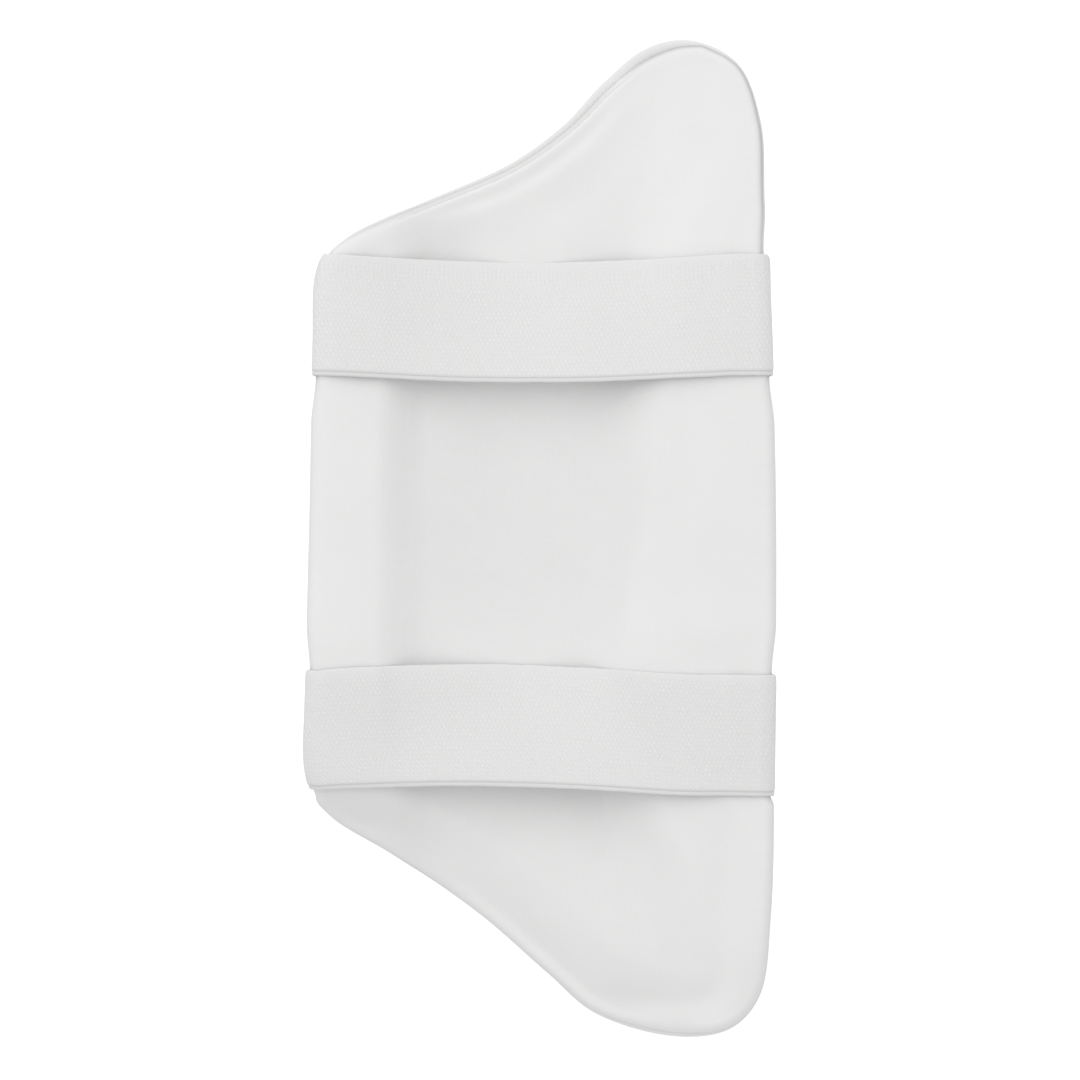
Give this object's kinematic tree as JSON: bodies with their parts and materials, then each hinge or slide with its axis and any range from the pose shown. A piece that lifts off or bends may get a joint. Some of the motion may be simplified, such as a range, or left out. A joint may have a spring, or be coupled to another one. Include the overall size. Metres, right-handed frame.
{
  "type": "thigh pad",
  "caption": "White padded leg guard, a foam pad shaped as a trough for the thigh, with wide elastic straps that wrap round it and fasten on the front.",
  "frame": {"origin": "on the table under the middle of the pad, which lies on its front with the leg side up", "axes": "+X from the short side to the long side, +Y up the leg, +Z out of the trough towards the leg"},
  "size_m": [0.1952, 0.4156, 0.0453],
  "materials": {
    "cover": "matt white stretch cloth over foam",
    "lining": "matt white brushed knit over foam",
    "elastic": "white woven elastic with a fine brick weave",
    "hooks": "white hook tape"
  },
  "bodies": {
    "root": {"front_pad": "cover", "back_panel": "lining", "upper_strap": "elastic", "upper_hook_tab": "hooks", "lower_strap": "elastic", "lower_hook_tab": "hooks"}
  },
  "joints": []
}
